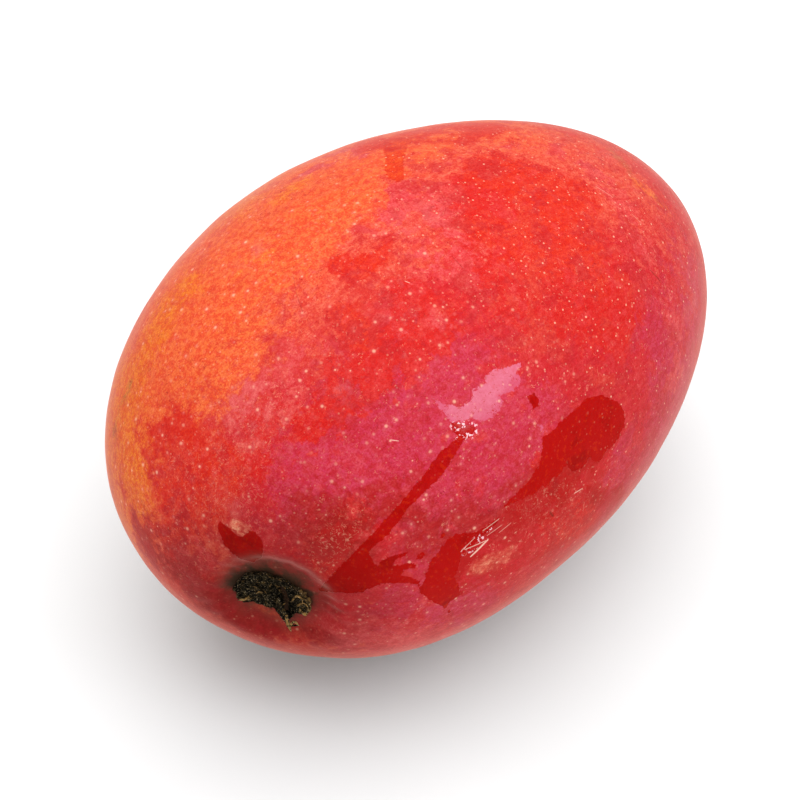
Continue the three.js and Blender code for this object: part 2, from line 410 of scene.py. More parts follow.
def in_photo(points):
    """Where points of the frame are in the photograph, in pixels from its top left."""
    offset = points - FRUIT_MIDDLE
    scale = PIXELS_PER_MM * VIEW_DISTANCE / (VIEW_DISTANCE - offset @ BACK)
    return np.stack(
        [
            MIDDLE_IN_PHOTO[0] + offset @ ACROSS * scale,
            MIDDLE_IN_PHOTO[1] - offset @ UPWARD * scale,
        ],
        axis=1,
    )


def aim_at(x, y):
    """What a photo pixel shows in the plane that faces the camera through the fruit's middle."""
    across = (x - MIDDLE_IN_PHOTO[0]) / PIXELS_PER_MM
    below = (y - MIDDLE_IN_PHOTO[1]) / PIXELS_PER_MM
    return FRUIT_MIDDLE + ACROSS * across - UPWARD * below


def make_camera():
    data = bpy.data.cameras.new("camera")
    data.sensor_width = SENSOR
    data.lens = SENSOR * VIEW_DISTANCE / (PHOTO_SIZE / PIXELS_PER_MM)
    data.clip_start, data.clip_end = 0.01, 20
    camera = bpy.data.objects.new("camera", data)
    aim = aim_at(PHOTO_SIZE / 2, PHOTO_SIZE / 2)
    camera.location = EYE * MM
    camera.rotation_mode = "QUATERNION"
    camera.rotation_quaternion = Vector(aim - EYE).to_track_quat("-Z", "Y")
    bpy.context.scene.collection.objects.link(camera)
    bpy.context.scene.camera = camera


class Touch:
    """Finds points of the skin, by a pixel of the photograph or by a direction from the middle."""

    def __init__(self, skin):
        points = points_of(skin)
        self.tree = BVHTree.FromPolygons(points.tolist(), skin_quads.tolist())

    def pixel(self, x, y):
        return self._hit(EYE, aim_at(x, y) - EYE)

    def side(self, azimuth, elevation):
        a, e = math.radians(azimuth), math.radians(elevation)
        back = np.array([math.sin(a) * math.cos(e), -math.cos(a) * math.cos(e), math.sin(e)])
        return self._hit(FRUIT_MIDDLE + back * SIDE_DISTANCE, -back)

    def normal(self, point):
        return np.array(self.tree.find_nearest(Vector(point))[1])

    def _hit(self, start, direction):
        """Where a line meets the skin, or where the skin comes nearest to it."""
        direction = unit(direction)
        place = self.tree.ray_cast(Vector(start), Vector(direction))[0]
        if place is None:
            passing = start + direction * ((FRUIT_MIDDLE - start) @ direction)
            place = self.tree.find_nearest(Vector(passing))[0]
        return np.array(place)


def from_line(points, line):
    """Distance from each point to a line through the given points."""
    line = np.asarray(line, dtype=float)
    best = np.linalg.norm(points - line[0], axis=1)
    for a, b in zip(line[:-1], line[1:]):
        along = np.clip(((points - a) @ (b - a)) / max((b - a) @ (b - a), 1e-9), 0, 1)
        best = np.minimum(best, np.linalg.norm(points - (a + along[:, None] * (b - a)), axis=1))
    return best


def from_outline(places, outline):
    """Signed distance in the photograph from a closed outline, less than nothing inside it."""
    corner = np.asarray(outline, dtype=float)
    following = np.roll(corner, -1, axis=0)
    inside = np.zeros(len(places), dtype=bool)
    for a, b in zip(corner, following):
        straddles = (a[1] > places[:, 1]) != (b[1] > places[:, 1])
        slope = (b[0] - a[0]) / (b[1] - a[1] if b[1] != a[1] else 1e-9)
        inside ^= straddles & (places[:, 0] < a[0] + slope * (places[:, 1] - a[1]))
    distance = from_line(places, np.vstack([corner, corner[:1]]))
    return np.where(inside, -distance, distance)


# Where each pigment lies, as lines of photo pixels on the side that shows, with the width of
# the stroke in millimetres and its strength
SHOWN_STROKES = {
    "orange": [
        ([(205, 330), (250, 265), (305, 200)], 13, 0.95),
        ([(160, 330), (150, 400), (205, 370)], 10, 0.8),
        # Beside the lower lobe, a lighter glossy orange: a painted highlight
        ([(480, 566), (512, 560)], 4.0, 0.95),
        ([(262, 609), (274, 616)], 1.8, 0.85),
        ([(128, 480), (136, 505)], 4, 0.5),
        ([(395, 150), (330, 165)], 8, 0.35),
    ],
    "crimson": [
        ([(320, 445), (420, 500), (530, 480)], 19, 1.0),
        ([(440, 360), (560, 345), (620, 370)], 15, 0.85),
        ([(470, 255), (440, 300)], 8, 0.5),
        ([(360, 620), (440, 610)], 14, 0.7),
        ([(610, 260), (650, 300)], 12, 0.55),
        ([(600, 420), (560, 500)], 15, 0.8),
        ([(280, 500), (330, 560)], 12, 0.8),
    ],
    "magenta": [
        ([(395, 390), (405, 440), (350, 460)], 11, 0.80),
        ([(300, 500), (330, 490), (420, 480)], 9, 0.62),
        ([(450, 395), (540, 405), (520, 455)], 7, 0.65),
        ([(505, 440), (505, 495)], 6, 0.8),
        ([(440, 530), (410, 500)], 7, 0.65),
        ([(655, 340), (670, 420)], 9, 0.6),
        ([(470, 350), (430, 395)], 6, 0.4),
        ([(400, 590), (480, 605)], 8, 0.5),
        ([(400, 640), (440, 630)], 8, 0.6),
        ([(620, 455), (600, 520)], 6, 0.5),
    ],
    "scarlet": [
        ([(490, 205), (550, 225), (585, 275)], 10, 0.85),
        ([(405, 300), (435, 325), (395, 340)], 6, 0.75),
        ([(340, 370), (370, 372)], 6, 0.6),
        ([(520, 290), (610, 315)], 8, 0.8),
        ([(312, 425), (335, 412), (345, 400)], 4.5, 0.8),
        ([(262, 430), (258, 470)], 5, 0.5),
        ([(540, 270), (500, 260)], 8, 0.6),
        ([(350, 528), (322, 562)], 4.5, 1.0),
        ([(124, 500), (150, 540), (190, 575)], 6, 0.9),
        ([(545, 480), (580, 520)], 7, 0.7),
    ],
    "rose": [
        ([(390, 215), (430, 200), (450, 235)], 7, 0.55),
        ([(425, 262), (465, 272)], 4.5, 0.55),
        ([(248, 405), (280, 385), (310, 358)], 7, 0.50),
        # Below the upper drip, a small painted glint
        ([(394, 190), (400, 198)], 1.6, 0.95),
        ([(560, 150), (600, 175), (640, 250)], 5, 0.45),
        ([(500, 145), (460, 165)], 5, 0.25),
        ([(668, 310), (675, 380)], 6, 0.45),
        ([(350, 640), (450, 635), (540, 590)], 8, 0.75),
        ([(320, 165), (350, 150)], 7, 0.5),
        ([(205, 560), (190, 545)], 6, 0.5),
        ([(386, 318), (398, 330)], 2.2, 0.60),
        ([(432, 318), (444, 326)], 2.0, 0.60),
    ],
    "blaze": [
        ([(495, 175), (570, 195), (560, 235)], 7, 0.9),
        ([(338, 264), (352, 270), (366, 264)], 3.2, 0.85),
        ([(188, 440), (200, 458), (218, 468)], 4.6, 0.95),
        ([(160, 460), (175, 510), (200, 490)], 8, 0.85),
        ([(345, 312), (360, 340)], 3.6, 0.7),
        ([(490, 235), (535, 250)], 8, 0.6),
        ([(585, 240), (600, 290)], 3.5, 0.5),
        ([(388, 235), (384, 255)], 1.6, 0.5),
    ],
    "amber": [
        ([(185, 288), (150, 345), (128, 395)], 4.6, 0.75),
        ([(119, 398), (122, 412)], 2.6, 0.8),
        ([(123, 440), (129, 465), (137, 490)], 4.0, 0.80),
        ([(303, 182), (282, 198)], 2.4, 0.8),
        ([(240, 270), (275, 250)], 5.0, 0.25),
        ([(635, 182), (662, 203)], 2.6, 0.42),
    ],
    "green": [
        ([(610, 150), (632, 176), (655, 198)], 2.4, 0.35),
        ([(128, 390), (114, 436)], 2.2, 0.40),
    ],
    "garnet_and_shade": [
        ([(322, 602), (338, 612)], 2.4, 0.6),
        ([(212, 602), (240, 614), (268, 626)], 3.5, 0.65),
        ([(304, 628), (328, 640)], 3.5, 0.55),
        ([(330, 545), (345, 530), (370, 575)], 3, 0.5),
        ([(184, 530), (160, 520)], 6, 0.3),
        # Along the lower side: darker towards the underside, partly painted shade
        ([(310, 520), (400, 520), (450, 530), (530, 505)], 9, 0.52),
        ([(150, 548), (190, 580), (230, 614)], 7, 0.58),
        ([(330, 668), (400, 668), (450, 662)], 6, 0.42),
    ],
    "brick_and_shade": [
        # Along the hollow's upper rim above the stalk: partly painted shade
        ([(228, 586), (242, 571), (277, 564), (310, 584)], 1.9, 0.85),
    ],
    "cream_and_painted_light": [
        # Along the left rim: partly pale skin, partly a painted rim light
        ([(100, 400), (102, 450), (106, 490)], 7.0, 0.66),
        # A painted highlight beside the lower lobe
        ([(484, 562), (505, 558)], 3.2, 0.48),
        ([(236, 527), (244, 531)], 1.2, 1.0),
        # Along the upper left rim: partly pale skin, partly a painted rim light
        ([(108, 350), (150, 258), (190, 208)], 7.0, 0.24),
    ],
}

# The sides that the photograph doesn't show, by azimuth and elevation from the fruit's middle
HIDDEN_STROKES = {
    "orange": [([(140, 25), (185, 20), (220, 10)], 30, 0.9), ([(110, -20), (250, -25)], 26, 0.75)],
    "amber": [([(165, -5), (205, -12), (245, 0)], 22, 0.85), ([(185, 30), (200, 35)], 10, 0.6)],
    "green": [([(175, -35), (200, -28)], 18, 0.45)],
    "cream_and_painted_light": [([(225, 0), (250, -12)], 14, 0.16)],
    "crimson": [([(20, 5), (50, 0), (80, 10)], 22, 0.85), ([(-20, -40), (60, -35)], 22, 0.8)],
    "magenta": [([(30, -10), (60, 15)], 12, 0.6), ([(-30, -45), (20, -50)], 12, 0.5)],
    "scarlet": [([(110, 20), (125, 0)], 16, 0.7), ([(250, 10), (262, -15)], 12, 0.6)],
    "blaze": [([(120, 45), (150, 50)], 10, 0.6), ([(235, -5), (240, -25)], 10, 0.6)],
}

# Where the bloom lies thickest, as lines of photo pixels with their width and strength.
# Along the rims it is partly a painted rim light
SHOWN_BLOOM_AND_RIM_LIGHT = [
    ([(222, 502), (236, 508)], 3.0, 0.36),
    ([(245, 405), (266, 432)], 6.0, 0.20),
    ([(400, 225), (430, 215)], 5.0, 0.28),
    ([(400, 290), (412, 330)], 3.5, 0.20),
    ([(320, 360), (340, 380)], 5.0, 0.22),
    ([(200, 255), (190, 250), (262, 252), (240, 268)], 2.5, 0.25),
    ([(245, 420), (250, 390)], 8.0, 0.15),
    # Along the lower rim: partly bloom, partly a painted rim light
    ([(340, 662), (430, 664), (520, 624)], 7.0, 0.12),
    ([(590, 165), (610, 150)], 4.0, 0.20),
    # Along the right and upper left rims: partly bloom, partly a painted rim light
    ([(610, 560), (664, 478), (706, 360), (706, 280)], 8.0, 0.30),
    ([(130, 270), (200, 205), (300, 148)], 8.0, 0.25),
]

# Where the skin is brushed all over with fine pale hairs, in the same way
BRUSHED_STROKES = [
    ([(130, 470), (160, 520), (200, 560)], 9.0, 0.55),
    ([(212, 488), (240, 515)], 7.0, 1.0),
    ([(240, 445), (270, 410)], 8.0, 0.7),
    ([(500, 300), (560, 320)], 8.0, 0.3),
    ([(345, 528), (322, 562)], 4.0, 1.0),
    ([(540, 500), (580, 520)], 6.0, 0.5),
]

# Where the rubbed places are soaked a deeper red, in the same way
SOAKED_STROKES = [
    ([(600, 405), (598, 432), (575, 460), (560, 478)], 5.0, 1.0),
    ([(541, 455), (536, 478), (516, 500)], 3.0, 0.9),
    ([(590, 490), (606, 500), (622, 486)], 2.5, 0.6),
    ([(460, 560), (440, 590), (450, 598)], 4.0, 0.8),
    ([(520, 520), (560, 500)], 4.0, 0.45),
]

# Wet places, where the bloom is gone, as outlines of photo pixels
WET_OUTLINES = {
    "run and its pool": [
        (449, 423), (458, 421), (466, 424), (474, 424), (476, 432), (468, 439), (462, 441),
        (458, 451), (451, 461), (443, 475), (432, 486), (419, 498), (408, 510), (397, 525),
        (386, 538), (375, 547), (370, 554), (373, 558), (377, 567), (386, 559), (397, 554),
        (409, 552), (404, 557), (397, 560), (393, 566), (403, 564), (415, 563), (421, 566),
        (406, 570), (401, 575), (416, 579), (426, 584), (416, 584), (406, 583), (393, 583),
        (382, 584), (366, 592), (349, 594), (330, 593), (319, 592), (332, 577), (351, 557),
        (362, 546), (375, 533), (386, 519), (397, 508), (406, 497), (416, 485), (424, 476),
        (431, 464), (438, 454), (449, 445), (459, 436), (453, 431),
    ],
    "long patch": [
        (588, 396), (602, 393), (609, 397), (618, 400), (624, 409), (625, 422), (619, 437),
        (608, 448), (598, 462), (590, 455), (584, 466), (572, 470), (566, 462), (560, 474),
        (552, 478), (548, 488), (542, 484), (536, 494), (526, 497), (516, 501), (508, 505),
        (504, 507), (515, 494), (529, 480), (536, 471), (541, 459), (543, 446), (541, 437),
        (552, 430), (561, 421), (570, 412), (579, 405),
    ],
    "lower lobe": [
        (499, 518), (488, 526), (475, 532), (460, 533), (451, 537), (445, 544), (438, 553),
        (432, 561), (428, 572), (425, 583), (419, 585), (423, 594), (434, 602), (445, 607),
        (452, 615), (455, 615), (449, 605), (453, 600), (462, 594), (460, 585), (456, 576),
        (460, 566), (462, 556), (470, 548), (480, 540), (490, 530), (499, 522),
    ],
    "drop above the stalk": [
        (222, 523), (228, 527), (234, 533), (240, 538), (247, 536), (250, 531), (255, 532),
        (261, 538), (265, 548), (263, 559), (254, 564), (242, 561), (233, 555), (226, 547),
        (221, 537), (218, 528),
    ],
    "dot": [(527, 395), (534, 392), (539, 397), (539, 405), (534, 408), (529, 401)],
    "speck": [(418, 554), (422, 551), (426, 554), (424, 559), (419, 559)],
    "beads": [(441, 534), (446, 533), (447, 538), (442, 539)],
}

# Where a thin film darkens the skin without a mirror's shine, in the same way
THIN_FILM_OUTLINES = {
    "upper drip": [
        (381, 141), (389, 137), (400, 138), (413, 136), (404, 150), (401, 165), (402, 179),
        (395, 182), (387, 178), (382, 170), (383, 156),
    ],
}

# Where the bloom is half rubbed away, in the same way
RUBBED_OUTLINES = {
    "along the long patch": [
        (588, 396), (608, 397), (624, 409), (625, 423), (619, 439), (613, 451), (609, 466),
        (600, 478), (602, 484), (613, 487), (622, 479), (626, 489), (620, 503), (602, 521),
        (588, 532), (566, 544), (547, 555), (518, 571), (495, 580), (475, 589), (460, 597),
        (440, 600), (428, 580), (440, 550), (470, 534), (499, 518), (504, 507), (529, 480),
        (541, 459), (543, 446), (570, 412),
    ],
    "before the run": [
        (312, 545), (322, 530), (345, 524), (364, 530), (352, 548), (338, 566), (324, 574),
        (312, 562),
    ],
    "above the stalk": [(219, 524), (240, 532), (262, 530), (262, 560), (240, 560), (224, 545)],
}

# Wet film with a painted reflection of the pale surroundings on it, as outlines of photo pixels
GLINT_OUTLINES = {
    "beside the run": [
        (431, 396), (438, 398), (444, 404), (455, 407), (466, 405), (472, 397), (474, 389),
        (483, 385), (486, 375), (494, 369), (507, 366), (521, 363), (517, 372), (522, 381),
        (511, 391), (500, 394), (503, 405), (494, 414), (483, 421), (470, 417), (462, 421),
        (452, 422), (445, 412), (437, 404),
    ],
    "at the edge of the patch": [
        (537, 425), (542, 424), (545, 428), (552, 429), (548, 432), (541, 431),
    ],
}

# Painted highlights of beads of water and of a shine on the wet patch, in the same way
SPARKLE_OUTLINES = {
    "head of the run": [
        (449, 422), (462, 419), (477, 423), (479, 433), (468, 441), (458, 441), (453, 434),
    ],
    "shine on the patch": [(462, 552), (478, 534), (496, 524), (492, 534), (476, 550), (464, 556)],
}

# The middle of the film that mirrors the window
GLINT_MIDDLE = (484, 390)

# All the outlines, by the name that the skin's material reads them by
OUTLINED = {
    "wet": WET_OUTLINES,
    "rubbed": RUBBED_OUTLINES,
    "thin_film": THIN_FILM_OUTLINES,
    "glint": GLINT_OUTLINES,
    "sparkle": SPARKLE_OUTLINES,
}

# Fine marks: first and last photo pixel, width in millimetres and strength
PALE_SCRATCHES_AND_GLINTS = [
    ((597, 128), (604, 140), 0.16, 0.5),
    ((604, 140), (614, 150), 0.16, 0.45),
    ((641, 230), (654, 250), 0.12, 0.5),
    ((594, 185), (610, 195), 0.20, 0.35),
    ((630, 212), (640, 222), 0.14, 0.35),
    ((391, 440), (399, 441), 0.16, 0.8),
    ((404, 281), (409, 283), 0.16, 0.7),
    # These marks on the wet lower lobe are painted highlights
    ((462, 551), (475, 538), 0.16, 0.8),
    ((466, 549), (487, 540), 0.22, 0.9),
    ((472, 556), (489, 539), 0.42, 1.0),
    ((484, 530), (500, 518), 0.20, 0.7),
    ((488, 535), (503, 524), 0.16, 0.6),
    ((500, 532), (512, 522), 0.16, 0.5),
    ((575, 492), (583, 487), 0.22, 0.8),
]
DARK_SCRATCHES = [
    ((292, 276), (296, 296), 0.14, 0.6),
    ((296, 296), (302, 313), 0.14, 0.6),
    ((649, 268), (659, 279), 0.40, 0.6),
    ((451, 256), (462, 268), 0.20, 0.5),
    ((551, 511), (554, 515), 0.60, 0.9),
]

# The pigments in the order in which they lie over the coral ground, with how blotchy each one is
# and how soft its edges are. Cream, garnet and brick carry painted light and shade in places
PIGMENTS = (
    ("orange", ORANGE, 0.45, 0.22),
    ("crimson", CRIMSON, 0.60, 0.20),
    ("magenta", MAGENTA, 0.65, 0.20),
    ("scarlet", SCARLET, 0.75, 0.16),
    ("rose", ROSE, 0.85, 0.14),
    ("blaze", BLAZE, 0.50, 0.16),
    ("amber", AMBER, 0.55, 0.26),
    ("green", LEAF_GREEN, 0.40, 0.22),
    ("garnet_and_shade", GARNET_AND_SHADE, 0.40, 0.22),
    ("brick_and_shade", BRICK, 0.35, 0.22),
    ("cream_and_painted_light", CREAM_AND_PAINTED_LIGHT, 0.45, 0.26),
)
PIGMENT_EDGE = 0.44  # the weight of a stroke at which its pigment ends
BREAKING_UP = 2.4  # how far the unevenness pushes that edge to and fro


def stroke_weights(points, strokes, place):
    """How strongly a pigment's strokes cover each point. place turns a stroke's pair into a point."""
    left = np.ones(len(points))
    for pairs, width, strength in strokes:
        line = [place(*pair) for pair in pairs]
        left *= 1 - strength * np.exp(-((from_line(points, line) / width) ** 2))
    return 1 - left


def paint_skin(skin, touch):
    """Lays down what the skin's material reads: pigments, wet places, and the stain and painted shade by
    the stalk.
    """
    points = points_of(skin)
    facing = normals_of(skin) @ BACK > FACING
    for pigment, *_ in PIGMENTS:
        shown = stroke_weights(points, SHOWN_STROKES.get(pigment, []), touch.pixel)
        hidden = stroke_weights(points, HIDDEN_STROKES.get(pigment, []), touch.side)
        paint(skin, pigment, 1 - (1 - shown) * (1 - hidden))
    films = {"bloom": SHOWN_BLOOM_AND_RIM_LIGHT, "brushed": BRUSHED_STROKES, "soaked": SOAKED_STROKES}
    for name, strokes in films.items():
        paint(skin, name, stroke_weights(points, strokes, touch.pixel))
    places = in_photo(points)
    for name, outlines in OUTLINED.items():
        nearest = np.min([from_outline(places, line) for line in outlines.values()], axis=0)
        paint(skin, name, np.where(facing, nearest / PIXELS_PER_MM, FAR_AWAY))
    height, radius, turn = about_stalk(points - PLACE)
    near = smooth_step(-SHOULDER_REACH, 0, height)
    paint(skin, "from_stalk", np.where(near > 0, radius, FAR_AWAY))
    # The stain, with painted shade of the hollow above the stalk
    stain = from_outline(places, CORK_OUTLINE) / PIXELS_PER_MM
    below = smooth_step(0.5, -2.0, (points - PLACE - SEAT_POINT)[:, 2])
    stain = np.where(radius < STAIN_AND_SHADE_REACH, stain + STAIN_AND_SHADE_LIFT * below, FAR_AWAY)
    paint(skin, "from_cork", stain)
    paint(skin, "turn_about_stalk", np.cos(9 * turn + 1.7 * np.sin(3 * turn)))
    paint(skin, "to_far_end", smooth_step(-35, 45, points[:, 0]))
    tip = points[np.argmax(points[:, 0])]
    paint(skin, "from_tip", np.linalg.norm(points - tip, axis=1))
    paint(skin, "from_seat", np.linalg.norm(points - PLACE - SEAT_POINT, axis=1))


def put(tree, socket, value):
    """Joins a socket to another one, or gives it a value."""
    if isinstance(value, bpy.types.NodeSocket):
        tree.links.new(value, socket)
    elif socket.type == "RGBA":
        socket.default_value = (*value, 1)
    else:
        socket.default_value = value


class Graph:
    """Adds nodes to a tree, each with its settings and inputs, and joins them."""

    def __init__(self, tree):
        self.tree = tree

    def add(self, kind, inputs=(), **settings):
        node = self.tree.nodes.new(kind)
        for name, value in settings.items():
            setattr(node, name, value)
        for key, value in dict(inputs).items():
            put(self.tree, node.inputs[key], value)
        return node

    def math(self, operation, a, b=0.0, c=0.0, clamp=False):
        node = self.add("ShaderNodeMath", {0: a, 1: b, 2: c}, operation=operation, use_clamp=clamp)
        return node.outputs[0]

    def times(self, a, b):
        return self.math("MULTIPLY", a, b)

    def times_plus(self, a, b, c):
        return self.math("MULTIPLY_ADD", a, b, c)

    def centred(self, value):
        """A noise's value, with its middle moved to nothing."""
        return self.math("SUBTRACT", value, 0.5)

    def step(self, value, low, high, to_low=0.0, to_high=1.0):
        """Goes smoothly from one value to another as the input passes between two limits."""
        limits = {"Value": value, "From Min": low, "From Max": high}
        limits |= {"To Min": to_low, "To Max": to_high}
        return self.add("ShaderNodeMapRange", limits, interpolation_type="SMOOTHSTEP").outputs[0]

    def mix(self, share, a, b, blend="MIX"):
        sides = {"Factor": share, 6: a, 7: b}
        return self.add("ShaderNodeMix", sides, data_type="RGBA", blend_type=blend).outputs[2]

    def tinted(self, colour, tint):
        return self.mix(1.0, colour, tint, "MULTIPLY")

    def blend(self, share, a, b):
        return self.add("ShaderNodeMix", {"Factor": share, 2: a, 3: b}).outputs[0]

    def painted(self, name):
        return self.add("ShaderNodeAttribute", attribute_name=name).outputs["Fac"]

    def noise(self, place, width, detail=2.0, roughness=0.5, distortion=0.0):
        inputs = {"Vector": place, "Scale": 1 / width, "Detail": detail}
        inputs |= {"Roughness": roughness, "Distortion": distortion}
        return self.add("ShaderNodeTexNoise", inputs).outputs["Fac"]

    def thread(self, place, width, detail, roughness, distortion):
        """Distance from winding lines, where the noise passes its middle."""
        return self.math("ABSOLUTE", self.centred(self.noise(place, width, detail, roughness, distortion)))

    def place_in_mm(self):
        coordinates = self.add("ShaderNodeTexCoord").outputs["Object"]
        inputs = {0: coordinates, "Scale": 1 / MM}
        return self.add("ShaderNodeVectorMath", inputs, operation="SCALE").outputs[0]


def new_group(name, inputs, outputs):
    """A node group, and the graph and the inner ends to build it with.

    Its inputs are numbers with their usual values, or places where no value is given.
    """
    tree = bpy.data.node_groups.new(name, "ShaderNodeTree")
    for label, value in inputs.items():
        kind = "NodeSocketVector" if value is None else "NodeSocketFloat"
        socket = tree.interface.new_socket(label, in_out="INPUT", socket_type=kind)
        if value is not None:
            socket.default_value = value
    for label in outputs:
        tree.interface.new_socket(label, in_out="OUTPUT", socket_type="NodeSocketFloat")
    start = tree.nodes.new("NodeGroupInput")
    end = tree.nodes.new("NodeGroupOutput")
    return tree, Graph(tree), start.outputs, end.inputs


def group_speckle():
    """Fine grain of darker and lighter flecks, for skin and for dry stalk."""
    inputs = {"Place": None, "Width": 0.6, "Contrast": 0.5}
    tree, g, given, made = new_group("Speckle", inputs, ("Fleck", "Height"))
    scale = g.math("DIVIDE", 1.0, given["Width"])
    coarse = g.add("ShaderNodeTexNoise", {"Vector": given["Place"], "Scale": scale, "Detail": 3.0})
    finer = g.times(scale, 2.7)
    fine = g.add("ShaderNodeTexNoise", {"Vector": given["Place"], "Scale": finer, "Detail": 1.0})
    both = g.math("ADD", g.times(coarse.outputs["Fac"], 0.6), g.times(fine.outputs["Fac"], 0.4))
    spread = g.times_plus(given["Contrast"], -0.22, 0.25)
    low = g.math("SUBTRACT", 0.5, spread)
    high = g.math("ADD", 0.5, spread)
    g.tree.links.new(g.step(both, high, low), made["Fleck"])
    g.tree.links.new(both, made["Height"])
    return tree


def group_pores():
    """Round pores of uneven size, strewn evenly over the surface."""
    inputs = {"Place": None, "Spacing": 2.0, "Radius": 0.4, "Softness": 0.5}
    tree, g, given, made = new_group("Pores", inputs, ("Pore",))
    inputs = {"Vector": given["Place"], "Scale": g.math("DIVIDE", 1.0, given["Spacing"])}
    cells = g.add("ShaderNodeTexVoronoi", inputs, feature="F1", distance="EUCLIDEAN")
    away = g.times(cells.outputs["Distance"], given["Spacing"])
    odds = g.add("ShaderNodeSeparateColor", {0: cells.outputs["Color"]})
    size = g.times(given["Radius"], g.step(odds.outputs[0], 0.0, 1.0, 0.45, 1.30))
    inner = g.times(size, g.math("SUBTRACT", 1.0, given["Softness"]))
    pore = g.times(g.step(away, size, inner), g.step(odds.outputs[1], 0.0, 1.0, 0.30, 1.0))
    g.tree.links.new(pore, made["Pore"])
    return tree


def group_scratch():
    """A thin straight mark between two points."""
    inputs = {"Place": None, "Start": None, "End": None, "Width": 0.2}
    tree, g, given, made = new_group("Scratch", inputs, ("Mark",))

    def vector(operation, a, b=None, output=0, **more):
        inputs = {0: a, **({1: b} if b is not None else {}), **more}
        return g.add("ShaderNodeVectorMath", inputs, operation=operation).outputs[output]

    reach = vector("SUBTRACT", given["End"], given["Start"])
    offset = vector("SUBTRACT", given["Place"], given["Start"])
    so_far = vector("DOT_PRODUCT", offset, reach, "Value")
    whole = vector("DOT_PRODUCT", reach, reach, "Value")
    along = g.math("DIVIDE", so_far, whole, clamp=True)
    nearest = vector("SCALE", reach, Scale=along)
    away = vector("LENGTH", vector("SUBTRACT", offset, nearest), output="Value")
    taper = g.times(along, g.math("SUBTRACT", 1.0, along))
    half = g.times(given["Width"], g.math("ADD", 0.5, taper))
    g.tree.links.new(g.step(away, half, 0.0), made["Mark"])
    return tree


SPECKLE = group_speckle()
PORES = group_pores()
SCRATCH = group_scratch()


def use(graph, group, **inputs):
    """A node group put into a graph with these inputs. Returns its outputs."""
    return graph.add("ShaderNodeGroup", inputs, node_tree=group).outputs


def new_material(name):
    material = bpy.data.materials.new(name)
    material.use_nodes = True
    material.node_tree.nodes.clear()
    graph = Graph(material.node_tree)
    shader = graph.add("ShaderNodeBsdfPrincipled")
    graph.add("ShaderNodeOutputMaterial", {"Surface": shader.outputs[0]})
    return material, graph, shader


def set_up(shader, graph, **inputs):
    """Sets the shader's inputs, named with lines for their spaces."""
    for name, value in inputs.items():
        put(graph.tree, shader.inputs[name.replace("_", " ")], value)


def marks(g, place, touch, scratches):
    """All the scratches of a list, as one mask."""
    shown = 0.0
    for first, last, width, strength in scratches:
        ends = {"Start": tuple(touch.pixel(*first)), "End": tuple(touch.pixel(*last))}
        mark = use(g, SCRATCH, Place=place, Width=width, **ends)["Mark"]
        shown = g.math("MAXIMUM", g.times(mark, strength), shown)
    return shown


def skin_patterns(g):
    """The unevenness that the parts of the skin's material share."""
    place = g.place_in_mm()
    drawn_out = {0: place, 1: (0.16, 1, 1)}
    along = g.add("ShaderNodeVectorMath", drawn_out, operation="MULTIPLY").outputs[0]
    mottle = g.noise(place, 2.6, 6.0, 0.72, 0.3)
    blotches = g.noise(place, 8.0, 6.0, 0.66, 0.5)
    lace = g.centred(g.noise(place, 4.5, 7.0, 0.72))
    shreds = g.centred(g.noise(place, 6.5, 7.0, 0.70, 0.6))
    drift = g.times_plus(g.centred(mottle), 0.9, g.centred(blotches))
    ragged_blots = g.math("SUBTRACT", shreds, lace)
    return SimpleNamespace(
        place=place,
        along=along,
        mottle=mottle,
        clouds=g.noise(place, 18.0, 3.0, 0.55),
        fine=g.noise(place, 1.1, 4.0, 0.7),
        streaks=g.noise(along, 0.75, 3.0, 0.65),
        grain=use(g, SPECKLE, Place=place, Width=0.32, Contrast=0.75),
        flecks=use(g, SPECKLE, Place=place, Width=1.1, Contrast=0.78),
        drifts=(g.math("ADD", drift, lace), ragged_blots, g.math("SUBTRACT", shreds, drift)),
        shade=g.step(ragged_blots, 0.02, 0.20, 0.0, 0.65),
    )


def lay_pigments(g, skin):
    """A coral ground with the pigments over it, each breaking up into lacy blotches where thin."""
    colour = g.mix(g.step(skin.streaks, 0.35, 0.70), CORAL, CORAL_PALE)
    for number, (name, pigment, unevenness, softness) in enumerate(PIGMENTS):
        laid = g.painted(name)
        lift = g.times_plus(skin.drifts[number % 3], unevenness * BREAKING_UP, laid)
        weight = g.step(lift, PIGMENT_EDGE - softness, PIGMENT_EDGE + softness)
        colour = g.mix(g.times(weight, g.step(laid, 0.04, 0.25)), colour, pigment)
    return colour


def cloud_the_reds(g, skin, colour):
    """Soft clouds inside the red parts, towards coral, a deeper crimson and rose."""
    red = g.step(g.painted("orange"), 0.15, 0.60, 1.0, 0.25)
    cool = g.math("ADD", g.painted("magenta"), g.painted("garnet_and_shade"))
    warm = g.step(cool, 0.05, 0.45, 1.0, 0.15)
    cloud = g.times(g.step(skin.drifts[1], 0.0, 0.13, 0.0, 0.50), red)
    colour = g.mix(g.times(cloud, warm), colour, CORAL)
    cloud = g.times(g.step(skin.drifts[2], 0.02, 0.15, 0.0, 0.60), red)
    colour = g.mix(cloud, colour, DEEP_CRIMSON)
    cloud = g.times(g.step(skin.drifts[0], 0.05, 0.20, 0.0, 0.35), red)
    return g.mix(cloud, colour, ROSE)


